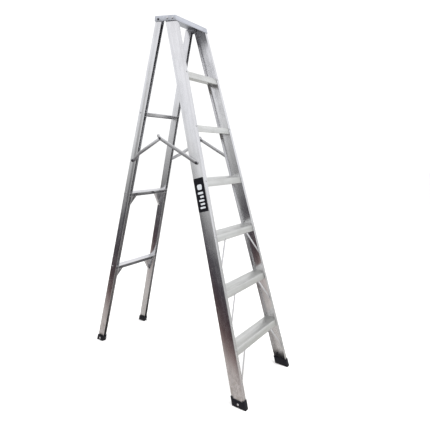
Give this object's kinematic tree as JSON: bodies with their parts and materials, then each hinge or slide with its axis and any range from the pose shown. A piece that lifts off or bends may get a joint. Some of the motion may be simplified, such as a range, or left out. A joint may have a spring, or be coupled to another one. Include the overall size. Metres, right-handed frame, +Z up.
{
  "type": "folding step ladder",
  "caption": "Single-sided folding A-frame step ladder with flat treads, a top cap, a hinged rear frame and folding side spreaders.",
  "frame": {"origin": "on the floor, at the centre of the open ladder's footprint", "axes": "+Z up, +X across the treads towards the ladder's right as seen by a climber, -Y the side that the treads face"},
  "size_m": [0.6144, 1.1708, 2.045],
  "materials": {
    "aluminium": "mill finish extruded channel, lightly brushed along its length",
    "tread": "satin folded sheet, smooth",
    "rubber": "matt black moulded shoe",
    "steel": "plated rivet",
    "dark_steel": "dark plated bolt",
    "label": null
  },
  "bodies": {
    "front_frame": {"top_cap": "tread", "side_label": "label", "step_1": "tread", "step_2": "tread", "step_3": "tread", "step_4": "tread", "step_5": "tread", "step_6": "tread", "front_stile_left": "aluminium", "front_foot_left": "rubber", "front_foot_left_rivet": "steel", "cap_rivet_left_1": "steel", "cap_rivet_left_2": "steel", "hinge_pin_left": "dark_steel", "front_bolt_left": "dark_steel", "front_washer_left": "steel", "step_brace_1_left": "aluminium", "step_brace_2_left": "aluminium", "step_brace_3_left": "aluminium", "front_stile_right": "aluminium", "front_foot_right": "rubber", "front_foot_right_rivet": "steel", "cap_rivet_right_1": "steel", "cap_rivet_right_2": "steel", "hinge_pin_right": "dark_steel", "front_bolt_right": "dark_steel", "front_washer_right": "steel", "step_brace_1_right": "aluminium", "step_brace_2_right": "aluminium", "step_brace_3_right": "aluminium"},
    "rear_frame": {"rear_rung_1": "aluminium", "rear_rung_2": "aluminium", "rear_rung_3": "aluminium", "rear_stile_left": "aluminium", "rear_foot_left": "rubber", "rear_foot_left_rivet": "steel", "rear_bolt_left": "dark_steel", "rear_washer_left": "steel", "rear_gusset_1_left": "aluminium", "rear_gusset_2_left": "aluminium", "rear_stile_right": "aluminium", "rear_foot_right": "rubber", "rear_foot_right_rivet": "steel", "rear_bolt_right": "dark_steel", "rear_washer_right": "steel", "rear_gusset_1_right": "aluminium", "rear_gusset_2_right": "aluminium"},
    "spreader_front_left": {"spreader_front_bar_left": "aluminium", "middle_rivet_left": "steel"},
    "spreader_rear_left": {"spreader_rear_bar_left": "aluminium", "middle_rivet_tail_left": "steel"},
    "spreader_front_right": {"spreader_front_bar_right": "aluminium", "middle_rivet_right": "steel"},
    "spreader_rear_right": {"spreader_rear_bar_right": "aluminium", "middle_rivet_tail_right": "steel"}
  },
  "joints": [
    {"name": "rear_frame_fold", "type": "hinge", "parent": "front_frame", "child": "rear_frame", "pos_m": [0, 0.26926, 2.026], "axis": [-1, 0, 0], "range_deg": [0, 27.9]},
    {"name": "spreader_front_turn_left", "type": "hinge", "parent": "front_frame", "child": "spreader_front_left", "pos_m": [-0.21751, -0.09722, 1.255], "axis": [1, 0, 0], "range_deg": [0, 49]},
    {"name": "spreader_rear_turn_left", "type": "hinge", "parent": "rear_frame", "child": "spreader_rear_left", "pos_m": [-0.18928, 0.38497, 1.217], "axis": [-1, 0, 0], "range_deg": [0, 27.3]},
    {"name": "spreader_front_turn_right", "type": "hinge", "parent": "front_frame", "child": "spreader_front_right", "pos_m": [0.21751, -0.09722, 1.255], "axis": [1, 0, 0], "range_deg": [0, 49]},
    {"name": "spreader_rear_turn_right", "type": "hinge", "parent": "rear_frame", "child": "spreader_rear_right", "pos_m": [0.18928, 0.38497, 1.217], "axis": [-1, 0, 0], "range_deg": [0, 27.3]}
  ],
  "couplings": [
    {"joint": "spreader_front_turn_left", "follows": "rear_frame_fold", "ratio": 1.7537},
    {"joint": "spreader_rear_turn_left", "follows": "rear_frame_fold", "ratio": 0.97732},
    {"joint": "spreader_front_turn_right", "follows": "rear_frame_fold", "ratio": 1.7537},
    {"joint": "spreader_rear_turn_right", "follows": "rear_frame_fold", "ratio": 0.97732}
  ]
}
